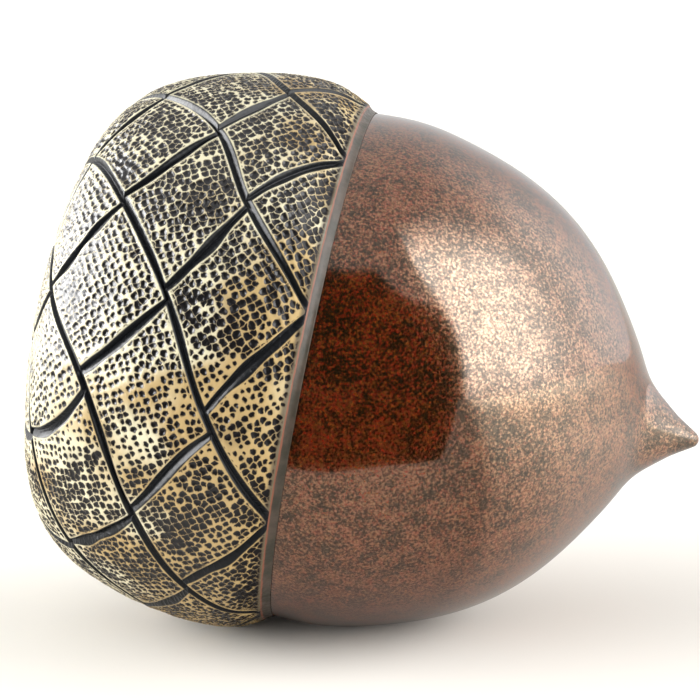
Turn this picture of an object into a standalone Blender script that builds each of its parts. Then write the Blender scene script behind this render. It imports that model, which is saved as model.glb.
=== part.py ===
"""Ornamental acorn of glazed ceramic, lying on its side with its tip to +X.

Two pieces: a cup carved with a lattice of grooves, and a smooth pointed nut seated in it.
Outlines are in millimetres along and around the acorn's own axis, where 0 is the plane of the
cup's mouth and the nut's tip is on the positive side. They become metres where a mesh is made.
"""
import math

import bmesh
import bpy
import numpy as np
from mathutils import Matrix, Vector

MM = 0.001

# How the acorn lies: on the bulge of its cup and the belly of its nut, with the tip the lower end.
REST_TILT_DEG = 12.0
FLAT_DEPTH = 0.45

# The cup, from the edge of its rim over the bulge to the middle of its closed end: (along, radius).
CUP_OUTLINE = (
    (0.6, 85.5), (-2.8, 87.4), (-7.2, 89.5), (-18.0, 90.9), (-31.0, 90.2), (-46.0, 87.2), (-60.2, 82.0),
    (-71.8, 74.3), (-80.2, 63.6), (-85.6, 48.5), (-89.9, 26.0), (-92.0, 0.0),
)
RIM_LIP = (3.3, 83.95)
SEAT_CLEARANCE = 0.65
SEAT_RINGS = 12

# The nut, from the middle of its hidden base to the shoulder of its tip: (along, radius).
NUT_OUTLINE = (
    (-79.0, 0.0), (-75.0, 24.0), (-62.0, 50.5), (-42.0, 69.5), (-20.0, 79.8), (0.0, 82.9),
    (19.5, 83.1), (36.0, 79.6), (53.7, 73.4), (70.0, 64.2), (84.6, 50.8), (96.0, 35.4),
    (103.2, 23.4), (107.6, 16.0), (112.4, 11.3), (118.8, 6.1),
)
TIP_RADIUS = 2.9
TIP_CENTRE = 123.3
TIP_SLOPE_DEG = 36.0
TIP_STEPS = 4
NUT_RINGS = 32
NUT_RING_BIAS = 1.3
NUT_SEGMENTS = 72

# The carved lattice. The crossings stand in rows round the cup, each row half a lozenge further round
# than the last. A row names the place of its first crossing and the crossings seen from the front,
# as (degrees from the front, positive downwards; mm from the rim along the surface).
# The row's other crossings share the rest of the round evenly, at the row's mean distance.
LOZENGES_ROUND = 9
LATTICE_TURN_DEG = -13.15
CROSSING_ROWS = (
    (0, ((-80, 0), (-48, 0), (-10, 0), (36, 0), (73, 0))),
    (0, ((-65, 24.9), (-29, 26.4), (15.5, 23.9), (58, 24.9))),
    (1, ((-47, 41.9), (-7.5, 44.4), (40, 43.9), (79.5, 38.9))),
    (0, ((-65, 65.4), (-28, 66.9), (14, 67.4), (62.5, 65.9))),
    (1, ((-48, 88.9), (-6, 93.9), (38, 90.9))),
    (0, ((-68, 112.9),)),
    (1, ((-48, 132.9),)),
)
GROOVE_DEPTH = 1.5
PAD_ROUNDING = 0.4
PAD_ROUNDING_REACH = 0.12
# Places of the mesh lines across a lozenge: groove, edge of the pad, then across the pad.
GRID_LINES = (0.0, 0.055, 0.2, 0.4, 0.6, 0.8, 0.945, 1.0)
# The scar disc at the closed end: how far its raised edge and inner rings lie in from its groove.
SCAR_RING_STEPS = (1.8, 8.0, 15.0)

CUP_COLOUR = (0.55, 0.40, 0.20, 1.0)
NUT_COLOUR = (0.16, 0.085, 0.055, 1.0)


class Outline:
    """A smooth curve through hand-set points, read by its length from the first of them."""

    def __init__(self, knots, closes_at=None):
        """closes_at is "start" or "end" where the curve meets the axis squarely."""
        points = [tuple(knot) for knot in knots]
        mirrored = 3
        if closes_at == "end":
            points += [(along, -radius) for along, radius in reversed(points[-1 - mirrored:-1])]
        if closes_at == "start":
            points = [(along, -radius) for along, radius in reversed(points[1:1 + mirrored])] + points
        curve = through(np.array(points, float))
        on_side = curve[:, 1] >= 0.0
        curve = curve[on_side]
        if closes_at == "end":
            curve = np.vstack([curve, points[len(knots) - 1]])
        if closes_at == "start":
            curve = np.vstack([points[mirrored], curve])
        steps = np.hypot(*np.diff(curve, axis=0).T)
        self.curve = curve
        self.arcs = np.concatenate(([0.0], np.cumsum(steps)))
        self.length = self.arcs[-1]

    def at(self, arc):
        """Return (along, radius) at a distance along the curve."""
        return np.array([np.interp(arc, self.arcs, self.curve[:, k]) for k in (0, 1)])

    def normal(self, arc):
        """Return the unit vector square to the curve, on its side away from the axis."""
        reach = 0.5
        low, high = max(arc - reach, 0.0), min(arc + reach, self.length)
        along, radius = self.at(high) - self.at(low)
        normal = np.array([-radius, along]) / math.hypot(along, radius)
        return normal if normal[1] > 0 or abs(normal[1]) < 1e-6 else -normal


def through(knots, samples_per_span=40):
    """Return points on the natural cubic curve through the knots."""
    gaps = np.hypot(*np.diff(knots, axis=0).T)
    count = len(knots)
    system = np.eye(count)
    bends = np.zeros_like(knots)
    for i in range(1, count - 1):
        system[i, i - 1:i + 2] = gaps[i - 1], 2.0 * (gaps[i - 1] + gaps[i]), gaps[i]
        bends[i] = 6.0 * ((knots[i + 1] - knots[i]) / gaps[i] - (knots[i] - knots[i - 1]) / gaps[i - 1])
    bends = np.linalg.solve(system, bends)
    points = []
    for i, gap in enumerate(gaps):
        for step in range(samples_per_span):
            near = step / samples_per_span * gap
            far = gap - near
            points.append(
                bends[i] * far ** 3 / (6 * gap) + bends[i + 1] * near ** 3 / (6 * gap)
                + (knots[i] / gap - bends[i] * gap / 6) * far
                + (knots[i + 1] / gap - bends[i + 1] * gap / 6) * near
            )
    points.append(knots[-1])
    return np.array(points)


def turned_point(along, radius, degrees):
    """Return a point of a turned form whose axis is X; 0 degrees faces -Y and 90 faces down."""
    angle = math.radians(degrees)
    return Vector((along, -radius * math.cos(angle), -radius * math.sin(angle))) * MM


def lattice_crossings():
    """Return each row's crossings as an array of (degrees, distance from the rim)."""
    rows = []
    for first, seen in CROSSING_ROWS:
        hidden = LOZENGES_ROUND - len(seen)
        start, end = seen[-1][0], seen[0][0] + 360.0
        mean = sum(distance for _, distance in seen) / len(seen)
        step = (end - start) / (hidden + 1)
        crossings = list(seen) + [(start + step * (k + 1), mean) for k in range(hidden)]
        rows.append((first, crossings))
    return rows


def crossing(rows, row, place):
    """Return a crossing by its place in the round, with its degrees running on past a full turn."""
    first, crossings = rows[row]
    turns, index = divmod(place - first, LOZENGES_ROUND)
    degrees, distance = crossings[index]
    return np.array([degrees + 360.0 * turns, distance])


def pad_height(nearest):
    """Return how far the carved surface lies below the outline, from the nearest groove's fraction."""
    if nearest <= 0.0:
        return -GROOVE_DEPTH
    return -PAD_ROUNDING * math.exp(-nearest / PAD_ROUNDING_REACH)


class CarvedCup:
    """The cup's mesh: a carved outside, a bevelled rim and a smooth seat for the nut."""

    def __init__(self, seat_outline):
        self.outline = Outline(CUP_OUTLINE, closes_at="end")
        self.seat_outline = seat_outline
        self.rows = lattice_crossings()
        self.bm = bmesh.new()

    def vertex(self, place, height):
        """Add a vertex at (degrees, distance from the rim), raised along the surface's normal."""
        degrees, arc = place
        along, radius = self.outline.at(arc) + height * self.outline.normal(arc)
        return self.bm.verts.new(turned_point(along, radius, degrees + LATTICE_TURN_DEG))

    def lozenge(self, left, rim_side, end_side, right):
        """Add one whole lozenge between four crossings."""
        lines = GRID_LINES
        grid = {}
        for i, u in enumerate(lines):
            for j, v in enumerate(lines):
                place = ((1 - u) * (1 - v) * left + u * (1 - v) * rim_side
                         + (1 - u) * v * end_side + u * v * right)
                grid[i, j] = self.vertex(place, pad_height(min(u, 1 - u, v, 1 - v)))
        for i in range(len(lines) - 1):
            for j in range(len(lines) - 1):
                self.bm.faces.new((grid[i, j], grid[i + 1, j], grid[i + 1, j + 1], grid[i, j + 1]))

    def half_lozenge(self, left, right, apex, grooved_base):
        """Add the half of a lozenge between a base line and its apex, and return the base's vertices."""
        lines = GRID_LINES
        grid = {}
        for i, u in enumerate(lines):
            for j, v in enumerate(lines[i:], start=i):
                place = left + u * (left + right - apex - left) + v * (apex - left)
                nearest = min(u, 1 - v)
                if grooved_base:
                    nearest = min(nearest, v - u)
                grid[i, j] = self.vertex(place, pad_height(nearest))
        for i in range(len(lines) - 1):
            self.bm.faces.new((grid[i, i], grid[i + 1, i + 1], grid[i, i + 1]))
            for j in range(i + 1, len(lines) - 1):
                self.bm.faces.new((grid[i, j], grid[i + 1, j], grid[i + 1, j + 1], grid[i, j + 1]))
        return [grid[i, i] for i in range(len(lines) - 1)]

    def ring(self, base, point_at):
        """Add a ring of vertices at the base ring's angles, each placed by point_at(degrees)."""
        ring = []
        for vertex in base:
            degrees = math.degrees(math.atan2(-vertex.co.z, -vertex.co.y))
            ring.append(self.bm.verts.new(point_at(degrees)))
        return ring

    def band(self, first, second):
        """Join two rings of as many vertices with quads."""
        for k in range(len(first)):
            after = (k + 1) % len(first)
            self.bm.faces.new((first[k], first[after], second[after], second[k]))

    def close(self, ring, centre):
        """Close a ring with triangles to one vertex."""
        pole = self.bm.verts.new(centre)
        for k, vertex in enumerate(ring):
            self.bm.faces.new((vertex, ring[(k + 1) % len(ring)], pole))

    def carved_outside(self):
        """Add the lattice and return its edge rings at the rim and round the scar disc."""
        last = len(self.rows) - 1
        rim_ring, scar_ring = [], []
        for place in range(LOZENGES_ROUND):
            for row in range(1, last):
                between = place + row % 2
                self.lozenge(crossing(self.rows, row, place), crossing(self.rows, row - 1, between),
                             crossing(self.rows, row + 1, between), crossing(self.rows, row, place + 1))
            rim_ring += self.half_lozenge(crossing(self.rows, 0, place), crossing(self.rows, 0, place + 1),
                                          crossing(self.rows, 1, place), grooved_base=False)
            scar_ring += self.half_lozenge(crossing(self.rows, last, place),
                                           crossing(self.rows, last, place + 1),
                                           crossing(self.rows, last - 1, place), grooved_base=True)
        return rim_ring, scar_ring

    def scar_disc(self, ring):
        """Fill the closed end inside the last ring groove with a low disc."""
        start = self.rows[-1][1][0][1]
        for step in SCAR_RING_STEPS:
            along, radius = self.outline.at(start + step)
            inner = self.ring(ring, lambda degrees: turned_point(along, radius, degrees))
            self.band(ring, inner)
            ring = inner
        self.close(ring, turned_point(*self.outline.at(self.outline.length), 0.0))

    def rim_and_seat(self, ring):
        """Slope the rim inwards to its lip and line the hollow that the nut sits in."""
        lip = self.ring(ring, lambda degrees: turned_point(*RIM_LIP, degrees))
        self.band(ring, lip)
        ring = lip
        mouth = np.interp(RIM_LIP[0], self.seat_outline.curve[:, 0], self.seat_outline.arcs)
        for k in range(SEAT_RINGS):
            arc = mouth * (1.0 - (k + 0.3) / SEAT_RINGS)
            along, radius = self.seat_outline.at(arc) + SEAT_CLEARANCE * self.seat_outline.normal(arc)
            inner = self.ring(ring, lambda degrees: turned_point(along, radius, degrees))
            self.band(ring, inner)
            ring = inner
        self.close(ring, turned_point(self.seat_outline.at(0.0)[0] - SEAT_CLEARANCE, 0.0, 0.0))

    def mesh(self):
        """Build the whole cup and return its mesh, still on its own axis."""
        rim_ring, scar_ring = self.carved_outside()
        self.scar_disc(scar_ring)
        self.rim_and_seat(rim_ring)
        bmesh.ops.remove_doubles(self.bm, verts=self.bm.verts, dist=1e-6)
        return finished_mesh(self.bm, "cup", 40.0)


def nut_mesh(outline):
    """Spin the nut's outline round its axis, with the small ball of its tip."""
    profile = []
    for k in range(NUT_RINGS + 1):
        left = (1.0 - k / NUT_RINGS) ** NUT_RING_BIAS
        profile.append(outline.at(outline.length * (1.0 - left)))
    for step in range(TIP_STEPS + 1):
        turn = math.radians(90.0 - TIP_SLOPE_DEG) * (1.0 - step / TIP_STEPS)
        profile.append((TIP_CENTRE + TIP_RADIUS * math.cos(turn), TIP_RADIUS * math.sin(turn)))
    bm = bmesh.new()
    verts = [bm.verts.new(turned_point(along, max(radius, 0.0), 0.0)) for along, radius in profile]
    edges = [bm.edges.new(pair) for pair in zip(verts, verts[1:])]
    bmesh.ops.spin(bm, geom=verts + edges, cent=(0, 0, 0), axis=(1, 0, 0), angle=2 * math.pi,
                   steps=NUT_SEGMENTS, use_merge=True)
    bmesh.ops.remove_doubles(bm, verts=bm.verts, dist=1e-6)
    return finished_mesh(bm, "nut", 60.0)


def finished_mesh(bm, name, sharp_deg):
    """Point the faces outwards, shade them smooth and return the mesh."""
    bmesh.ops.recalc_face_normals(bm, faces=bm.faces)
    mesh = bpy.data.meshes.new(name)
    bm.to_mesh(mesh)
    bm.free()
    mesh.shade_smooth()
    mesh.set_sharp_from_angle(angle=math.radians(sharp_deg))
    return mesh


def glaze(name, colour, roughness):
    """Return a plain glazed finish."""
    material = bpy.data.materials.new(name)
    material.use_nodes = True
    shader = material.node_tree.nodes["Principled BSDF"]
    shader.inputs["Base Color"].default_value = colour
    shader.inputs["Roughness"].default_value = roughness
    shader.inputs["Metallic"].default_value = 0.0
    return material


def ground_block(size):
    """Return a hidden block whose top is the ground, which cuts the small flats."""
    bpy.ops.mesh.primitive_cube_add(size=size, location=(0.0, 0.0, -size / 2))
    block = bpy.context.object
    block.name = "ground_cutter"
    block.hide_render = True
    block.display_type = "WIRE"
    return block


def lay_down(meshes):
    """Tilt the meshes to rest and move them so that the ground is z = 0 under their middle."""
    for mesh in meshes:
        mesh.transform(Matrix.Rotation(math.radians(REST_TILT_DEG), 4, "Y"))
    points = [vertex.co for mesh in meshes for vertex in mesh.vertices]
    nut_low = min(vertex.co.z for vertex in meshes[-1].vertices)
    middle = [(min(p[k] for p in points) + max(p[k] for p in points)) / 2 for k in (0, 1)]
    ground = nut_low + FLAT_DEPTH * MM
    for mesh in meshes:
        mesh.transform(Matrix.Translation((-middle[0], -middle[1], -ground)))


def add_piece(mesh, material, cutter):
    """Put a mesh in the scene with its finish and the cut of its resting flat."""
    mesh.materials.append(material)
    piece = bpy.data.objects.new(mesh.name, mesh)
    bpy.context.collection.objects.link(piece)
    cut = piece.modifiers.new("resting_flat", "BOOLEAN")
    cut.operation = "DIFFERENCE"
    cut.solver = "EXACT"
    cut.object = cutter
    return piece


def main():
    for old in list(bpy.data.objects):
        bpy.data.objects.remove(old, do_unlink=True)
    nut_outline = Outline(NUT_OUTLINE, closes_at="start")
    cup = CarvedCup(nut_outline).mesh()
    nut = nut_mesh(nut_outline)
    lay_down([cup, nut])
    cutter = ground_block(1.0)
    add_piece(cup, glaze("cup_glaze", CUP_COLOUR, 0.3), cutter)
    add_piece(nut, glaze("nut_glaze", NUT_COLOUR, 0.1), cutter)


main()
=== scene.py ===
"""Looks of a glazed ceramic acorn lying on its side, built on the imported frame.

The cup is carved with a lattice of grooves and pricked all over; the nut has a speckled clear glaze.
Lengths are millimetres unless a name says otherwise, and the frame itself is in metres.
"""

from __future__ import annotations

import logging
import math
from dataclasses import dataclass, field
from enum import Enum

import bpy
import numpy as np
from mathutils import Matrix, Vector

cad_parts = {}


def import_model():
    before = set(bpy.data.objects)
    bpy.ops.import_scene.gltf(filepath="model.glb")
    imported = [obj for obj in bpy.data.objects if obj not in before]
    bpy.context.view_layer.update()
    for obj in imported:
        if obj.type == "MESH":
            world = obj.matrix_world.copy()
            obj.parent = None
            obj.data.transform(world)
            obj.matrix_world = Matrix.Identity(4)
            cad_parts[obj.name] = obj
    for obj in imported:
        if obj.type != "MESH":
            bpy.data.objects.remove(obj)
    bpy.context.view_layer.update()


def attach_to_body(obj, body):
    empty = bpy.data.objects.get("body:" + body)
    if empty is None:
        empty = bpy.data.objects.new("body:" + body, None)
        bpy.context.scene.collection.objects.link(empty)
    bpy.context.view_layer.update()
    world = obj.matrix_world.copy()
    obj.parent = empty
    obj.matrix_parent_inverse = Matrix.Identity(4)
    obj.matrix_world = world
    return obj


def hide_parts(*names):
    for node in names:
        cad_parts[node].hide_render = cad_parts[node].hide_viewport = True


LOG = logging.getLogger("acorn")
MM = 0.001
Socket = bpy.types.NodeSocket


class Attribute(str, Enum):
    """Names of the mesh attributes that the finishes read."""

    EDGE = "pad_edge"
    RIM = "rim_distance"
    UV = "UVMap"


class Zone(Enum):
    """The bands of rows that the cup's carved outside is split into, seams in groove bottoms."""

    MOUTH = ("cup_carving_mouth", 0, 2)
    MIDDLE = ("cup_carving_middle", 3, 4)
    CLOSED_END = ("cup_carving_closed_end", 5, 6)

    def __init__(self, label: str, first_row: int, last_row: int) -> None:
        self.label = label
        self.first_row = first_row
        self.last_row = last_row


# Shape of the turned forms


@dataclass(frozen=True)
class Pose:
    """How the acorn lies: its axis runs towards +X and tips down towards the nut."""

    tilt_deg: float = 12.0
    mouth_centre: tuple[float, float, float] = (-14.82, -0.06, 85.25)

    def in_frame(self, points: np.ndarray) -> np.ndarray:
        """Turn points on the acorn's own axes into the frame.

        Args:
            points: (n, 3) millimetres, X along the axis from the cup's mouth.

        Returns:
            (n, 3) metres in the frame.
        """
        turn = math.radians(self.tilt_deg)
        along, across, up = points.T
        turned = np.stack(
            (
                along * math.cos(turn) + up * math.sin(turn),
                across,
                up * math.cos(turn) - along * math.sin(turn),
            ),
            axis=1,
        )
        return (turned + np.array(self.mouth_centre)) * MM


class Outline:
    """A smooth curve (place along the axis, radius), read by the distance along it."""

    def __init__(self, knots: tuple[tuple[float, float], ...], closes_at: str) -> None:
        """Lay a natural cubic through the knots.

        Args:
            knots: (along, radius) pairs.
            closes_at: "start" or "end", where the curve meets the axis squarely.
        """
        mirrored = 3
        points = [tuple(knot) for knot in knots]
        if closes_at == "end":
            points += [(along, -radius) for along, radius in reversed(points[-1 - mirrored : -1])]
        else:
            points = [(a, -r) for a, r in reversed(points[1 : 1 + mirrored])] + points
        curve = self._through(np.array(points, float))
        curve = curve[curve[:, 1] >= 0.0]
        if closes_at == "end":
            curve = np.vstack([curve, knots[-1]])
        else:
            curve = np.vstack([knots[0], curve])
        steps = np.hypot(*np.diff(curve, axis=0).T)
        self.curve = curve
        self.arcs = np.concatenate(([0.0], np.cumsum(steps)))
        self.length = float(self.arcs[-1])

    @staticmethod
    def _through(knots: np.ndarray, samples: int = 60) -> np.ndarray:
        """Return points on the natural cubic curve through the knots."""
        gaps = np.hypot(*np.diff(knots, axis=0).T)
        count = len(knots)
        system = np.eye(count)
        bends = np.zeros_like(knots)
        for i in range(1, count - 1):
            system[i, i - 1 : i + 2] = gaps[i - 1], 2.0 * (gaps[i - 1] + gaps[i]), gaps[i]
            rise = (knots[i + 1] - knots[i]) / gaps[i] - (knots[i] - knots[i - 1]) / gaps[i - 1]
            bends[i] = 6.0 * rise
        bends = np.linalg.solve(system, bends)
        points = []
        for i, gap in enumerate(gaps):
            near = np.linspace(0.0, gap, samples, endpoint=False)[:, None]
            far = gap - near
            points.append(
                bends[i] * far**3 / (6 * gap)
                + bends[i + 1] * near**3 / (6 * gap)
                + (knots[i] / gap - bends[i] * gap / 6) * far
                + (knots[i + 1] / gap - bends[i + 1] * gap / 6) * near
            )
        return np.vstack([*points, knots[-1:]])

    def at(self, arc: np.ndarray | float) -> np.ndarray:
        """Return (..., 2) of (along, radius) at distances along the curve."""
        return np.stack([np.interp(arc, self.arcs, self.curve[:, k]) for k in (0, 1)], axis=-1)

    def radius(self, arc: np.ndarray | float) -> np.ndarray:
        """Return the radius at distances along the curve."""
        return np.interp(arc, self.arcs, self.curve[:, 1])

    def normal(self, arc: np.ndarray | float, reach: float = 0.6) -> np.ndarray:
        """Return (..., 2) unit vectors square to the curve, away from the axis."""
        low = self.at(np.clip(np.asarray(arc) - reach, 0.0, self.length))
        high = self.at(np.clip(np.asarray(arc) + reach, 0.0, self.length))
        step = high - low
        normal = np.stack([-step[..., 1], step[..., 0]], axis=-1)
        normal /= np.linalg.norm(normal, axis=-1, keepdims=True)
        sign = np.where(normal[..., 1:] < -1e-6, -1.0, 1.0)
        return normal * sign


def turned(profile: np.ndarray, degrees: np.ndarray) -> np.ndarray:
    """Turn profile points round the axis.

    Args:
        profile: (..., 2) of (along, radius).
        degrees: (...) angles; 0 faces the viewer (-Y) and 90 faces down.

    Returns:
        (..., 3) points on the acorn's own axes.
    """
    angle = np.radians(degrees)
    along, radius, angle = np.broadcast_arrays(profile[..., 0], profile[..., 1], angle)
    return np.stack((along, -radius * np.cos(angle), -radius * np.sin(angle)), axis=-1)


def steady_noise(points: np.ndarray, wavelength: float, seed: int) -> np.ndarray:
    """Return smooth values of about -1 to 1 from a few crossed waves, the same at every run."""
    rng = np.random.default_rng(seed)
    total = np.zeros(points.shape[:-1])
    waves = 7
    for _ in range(waves):
        direction = rng.normal(size=points.shape[-1])
        direction *= 2 * math.pi / (wavelength * rng.uniform(0.7, 1.5) * np.linalg.norm(direction))
        total += np.sin(points @ direction + rng.uniform(0, 2 * math.pi))
    return total / math.sqrt(waves / 2) / 1.6


# The cup's lattice of grooves


@dataclass(frozen=True)
class Crossing:
    """Where two grooves meet, as (degrees from the front, distance from the rim)."""

    place: np.ndarray
    arrive: np.ndarray
    leave: np.ndarray


@dataclass
class GrooveLattice:
    """The hand-cut lattice: seven rows of crossings, each row round the cup."""

    outline: Outline
    lozenges: int = 9
    turn_deg: float = -13.15
    rows: tuple = (
        (0, ((-80, 0), (-48, 0), (-10, 0), (36, 0), (73, 0))),
        (0, ((-65, 24.9), (-29, 26.4), (15.5, 23.9), (58, 24.9))),
        (1, ((-47, 41.9), (-7.5, 44.4), (40, 43.9), (79.5, 38.9))),
        (0, ((-65, 65.4), (-28, 66.9), (14, 67.4), (62.5, 65.9))),
        (1, ((-48, 88.9), (-6, 93.9), (38, 90.9))),
        (0, ((-68, 112.9),)),
        (1, ((-48, 132.9),)),
    )
    usual_jog: float = 2.2
    end_jog: float = 1.6
    bow_spread: float = 0.9
    sway_spread: float = 0.6
    jogs: dict = field(
        default_factory=lambda: {(1, 2): 6.5, (3, 2): 6.0, (2, 2): 3.4, (3, 1): 2.8, (1, 3): 3.8}
    )
    bows: dict = field(default_factory=lambda: {(1, 2): 1.6, (3, 2): -2.6, (0, 2): 1.2})

    def __post_init__(self) -> None:
        """Spread the hidden crossings evenly."""
        self.table = []
        for first, seen in self.rows:
            hidden = self.lozenges - len(seen)
            start, end = seen[-1][0], seen[0][0] + 360.0
            mean = sum(distance for _, distance in seen) / len(seen)
            step = (end - start) / (hidden + 1)
            rest = [(start + step * (k + 1), mean) for k in range(hidden)]
            self.table.append((first, list(seen) + rest))
        self.last = len(self.table) - 1

    def place(self, row: int, index: int) -> np.ndarray:
        """Return a crossing's place, its degrees running on past a full turn."""
        first, crossings = self.table[row]
        turns, within = divmod(index - first, self.lozenges)
        degrees, distance = crossings[within]
        return np.array([degrees + 360.0 * turns, distance], float)

    def to_mm(self, places: np.ndarray, base: np.ndarray) -> np.ndarray:
        """Return offsets from base in millimetres over the surface."""
        radius = self.outline.radius(0.5 * (places[..., 1] + base[..., 1]))
        step = places - base
        return np.stack((np.radians(step[..., 0]) * radius, step[..., 1]), axis=-1)

    def crossing(self, row: int, index: int) -> Crossing:
        """Return a crossing with the two points where the second family meets the first."""
        here = self.place(row, index)
        if row in (0, self.last):
            heading = np.array([1.0, 0.0])
        else:
            after = self.place(row - 1, index + row % 2)
            before = self.place(row + 1, index - 1 + row % 2)
            heading = self.to_mm(after, before)
            heading /= np.linalg.norm(heading)
        key = (row, (index - self.table[row][0]) % self.lozenges + self.table[row][0])
        jog = self.end_jog if row in (0, self.last) else self.jogs.get(key, self.usual_jog)
        half = 0.5 * jog
        radius = self.outline.radius(here[1])
        step = np.array([math.degrees(half * heading[0] / radius), half * heading[1]])
        return Crossing(here, here - step, here + step)

    def first_family(self, row: int, index: int, lines: "MeshLines") -> np.ndarray:
        """Return the samples from one crossing's arrival to the next one's, nearer the rim."""
        start = self.crossing(row, index)
        jog = lines.jog[:, None]
        short = start.arrive + (start.leave - start.arrive) * jog
        if row == 0:
            return short
        end = self.crossing(row - 1, index + row % 2)
        chord = end.arrive - start.leave
        out = chord if row == self.last else self._scaled(start, chord)
        into = chord if row == 1 else self._scaled(end, chord)
        long = self._hermite(start.leave, end.arrive, out, into, lines.long)
        return np.vstack([short, long[1:]])

    def second_family(self, row: int, index: int, lines: "MeshLines") -> np.ndarray:
        """Return the samples of the groove that leaves a crossing towards the closed end."""
        start = self.crossing(row, index)
        end = self.crossing(row + 1, index + row % 2)
        v = lines.across
        path = start.leave + (end.arrive - start.leave) * v[:, None]
        key = (row, (index - self.table[row][0]) % self.lozenges + self.table[row][0])
        rng = np.random.default_rng(911 + 17 * row + key[1])
        bow = self.bows.get(key, rng.uniform(-self.bow_spread, self.bow_spread))
        sway = rng.uniform(-self.sway_spread, self.sway_spread)
        side = bow * np.sin(math.pi * v) + sway * np.sin(2 * math.pi * v)
        chord = self.to_mm(end.arrive, start.leave)
        square = np.array([-chord[1], chord[0]]) / np.linalg.norm(chord)
        radius = self.outline.radius(path[:, 1])
        path[:, 0] += np.degrees(side * square[0] / radius)
        path[:, 1] += side * square[1]
        return path

    @staticmethod
    def _scaled(crossing: Crossing, chord: np.ndarray) -> np.ndarray:
        """Return the groove's heading at a crossing, as long as the chord."""
        heading = crossing.leave - crossing.arrive
        return heading * abs(chord[1] / heading[1])

    @staticmethod
    def _hermite(
        start: np.ndarray, end: np.ndarray, out: np.ndarray, into: np.ndarray, t: np.ndarray
    ) -> np.ndarray:
        """Return points of the cubic that leaves and enters along the given directions."""
        t = t[:, None]
        return (
            (2 * t**3 - 3 * t**2 + 1) * start
            + (t**3 - 2 * t**2 + t) * out
            + (3 * t**2 - 2 * t**3) * end
            + (t**3 - t**2) * into
        )


class MeshLines:
    """Where the mesh lines of a lozenge lie: close together at the grooves, even between."""

    def __init__(self, count: int, in_jog: int, edge_mm: float, close: int, close_mm: float) -> None:
        """Space the lines.

        Args:
            count: Lines across a lozenge.
            in_jog: Of those, how many lie in the jog of a crossing.
            edge_mm: A lozenge's usual edge.
            close: How many close lines there are beside a groove.
            close_mm: How far apart the close lines are.
        """
        self.count = count
        self.in_jog = in_jog
        self.across = self._spaced(count, edge_mm, close, close, close_mm)
        self.long = self._spaced(count - in_jog, edge_mm, close, 2, close_mm)
        self.jog = np.linspace(0.0, 1.0, in_jog + 1)

    @staticmethod
    def _spaced(count: int, edge_mm: float, start: int, end: int, close_mm: float) -> np.ndarray:
        """Return count + 1 places from 0 to 1, with close lines at both ends."""
        steps = np.full(count, 1.0)
        steps[:start] = 0.0
        steps[count - end :] = 0.0
        free = edge_mm - close_mm * (start + end)
        steps = np.where(steps > 0, free / steps.sum(), close_mm)
        return np.concatenate(([0.0], np.cumsum(steps))) / steps.sum()


# The cup


@dataclass(frozen=True)
class GrooveCut:
    """The section of the carved grooves: a broad slope on one side and a steep one on the other."""

    first_broad: float = 1.75
    first_steep: float = 0.9
    second_broad: float = 2.2
    second_steep: float = 1.0
    depth: float = 1.5
    run_out: float = 2.6

    def side(self, distance: np.ndarray, width: np.ndarray | float) -> np.ndarray:
        """Return 1 at the bottom of a groove and 0 from its edge on."""
        return np.clip(1.0 - distance / width, 0.0, 1.0) ** 1.1

    def second_depth(self, v: np.ndarray) -> np.ndarray:
        """Return how deep the second family is along a segment."""
        return self.depth * (0.82 + 0.42 * np.sin(math.pi * np.clip(v, 0.0, 1.0)))

    def second_taper(self, v: np.ndarray) -> np.ndarray:
        """Return how wide the second family is along a segment, against its usual width."""
        return 0.62 + 0.55 * np.sin(math.pi * np.clip(v, 0.0, 1.0)) ** 0.8


@dataclass
class Patch:
    """One carved lozenge, or half of one, ready to be joined to a mesh."""

    keys: np.ndarray
    places: np.ndarray
    heights: np.ndarray
    edges: np.ndarray
    chart: np.ndarray
    quads: np.ndarray


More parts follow.
